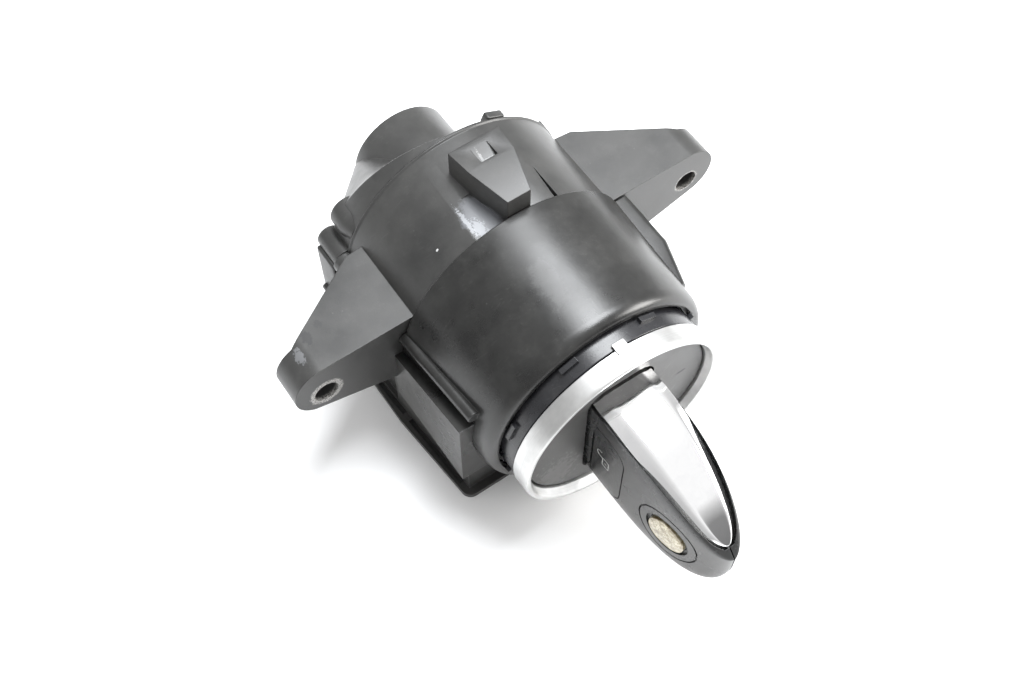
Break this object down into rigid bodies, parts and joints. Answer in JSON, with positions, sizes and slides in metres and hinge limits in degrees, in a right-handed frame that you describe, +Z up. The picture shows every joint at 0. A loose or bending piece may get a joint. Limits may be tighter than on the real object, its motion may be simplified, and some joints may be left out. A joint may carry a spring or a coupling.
{
  "type": "ignition switch",
  "caption": "Push-in ignition switch: round black barrel with two bolt ears, silver ring and slot holding a chrome-trimmed key fob that slides out and presses in to start.",
  "frame": {"origin": "on the underside of the cradle's foot, under the barrel's axis and in the plane of the ears' front faces", "axes": "+Y runs into the switch along the barrel, the fob points to -Y, +Z is up, away from the foot, and the ears lie along X"},
  "size_m": [0.1102, 0.1247, 0.066],
  "materials": {
    "housing_black": "fine satin black moulded plastic, lightly scuffed",
    "collar_black": "smooth satin black moulded plastic",
    "sleeve_black": "semi-gloss black moulded plastic",
    "satin_metal": "satin silver",
    "face_black": "fine-grained matt black",
    "clear_plastic": "clear moulded",
    "inner_plastic": "plain dark moulded",
    "copper_wire": "bright copper alloy",
    "spring_steel": "drawn steel",
    "zinc_steel": "zinc-plated steel",
    "board_green": "green solder mask",
    "switch_body": "plain black moulded",
    "fob_black": "satin black moulded plastic",
    "fob_chrome": "bright plated strip",
    "badge_cream": "cream and pale gold disc, left bare"
  },
  "bodies": {
    "housing": {"main_housing": "housing_black", "front_collar": "collar_black", "bezel_sleeve": "sleeve_black", "trim_ring": "satin_metal", "face_plate": "face_black", "light_guide": "clear_plastic", "coil_former": "inner_plastic", "reader_coil": "copper_wire", "guide_plate": "inner_plastic", "return_spring": "spring_steel", "solenoid_frame": "zinc_steel", "solenoid_coil": "copper_wire", "microswitch_fob_in": "switch_body", "microswitch_start": "switch_body", "circuit_board": "board_green", "board_screw_1": "zinc_steel", "board_screw_2": "zinc_steel", "contact_pin_1": "copper_wire", "contact_pin_2": "copper_wire", "contact_pin_3": "copper_wire", "contact_pin_4": "copper_wire", "rear_cover": "housing_black", "base_cradle": "housing_black"},
    "carrier": {"key_carrier": "inner_plastic"},
    "lock_bolt": {"lock_plunger": "zinc_steel"},
    "fob": {"fob_shell_left": "fob_black", "fob_shell_right": "fob_black", "fob_trim_top": "fob_chrome", "fob_trim_bottom": "fob_chrome", "fob_emblem_disc": "badge_cream", "fob_board": "board_green", "fob_battery": "zinc_steel", "fob_blade": "spring_steel"},
    "unlock_key": {"unlock_button": "fob_black"},
    "lock_key": {"lock_button": "fob_black"},
    "boot_key": {"boot_button": "fob_black"}
  },
  "joints": [
    {"name": "carrier_push", "type": "slide", "parent": "housing", "child": "carrier", "axis": [0, 1, 0], "range_m": [0, 0.004], "stiffness_N_per_m": 1000, "springref_m": -0.002, "deforming": ["return_spring"]},
    {"name": "fob_slide", "type": "slide", "parent": "carrier", "child": "fob", "axis": [0, -1, 0], "range_m": [0, 0.042]},
    {"name": "lock_bolt_slide", "type": "slide", "parent": "housing", "child": "lock_bolt", "axis": [1, 0, 0], "range_m": [0, 0.0022], "stiffness_N_per_m": 300, "springref_m": -0.001},
    {"name": "unlock_press", "type": "slide", "parent": "fob", "child": "unlock_key", "axis": [1, 0, 0], "range_m": [0, 0.0007], "stiffness_N_per_m": 1500, "springref_m": -0.0005},
    {"name": "lock_press", "type": "slide", "parent": "fob", "child": "lock_key", "axis": [1, 0, 0], "range_m": [0, 0.0007], "stiffness_N_per_m": 1500, "springref_m": -0.0005},
    {"name": "boot_press", "type": "slide", "parent": "fob", "child": "boot_key", "axis": [1, 0, 0], "range_m": [0, 0.0007], "stiffness_N_per_m": 1500, "springref_m": -0.0005}
  ]
}
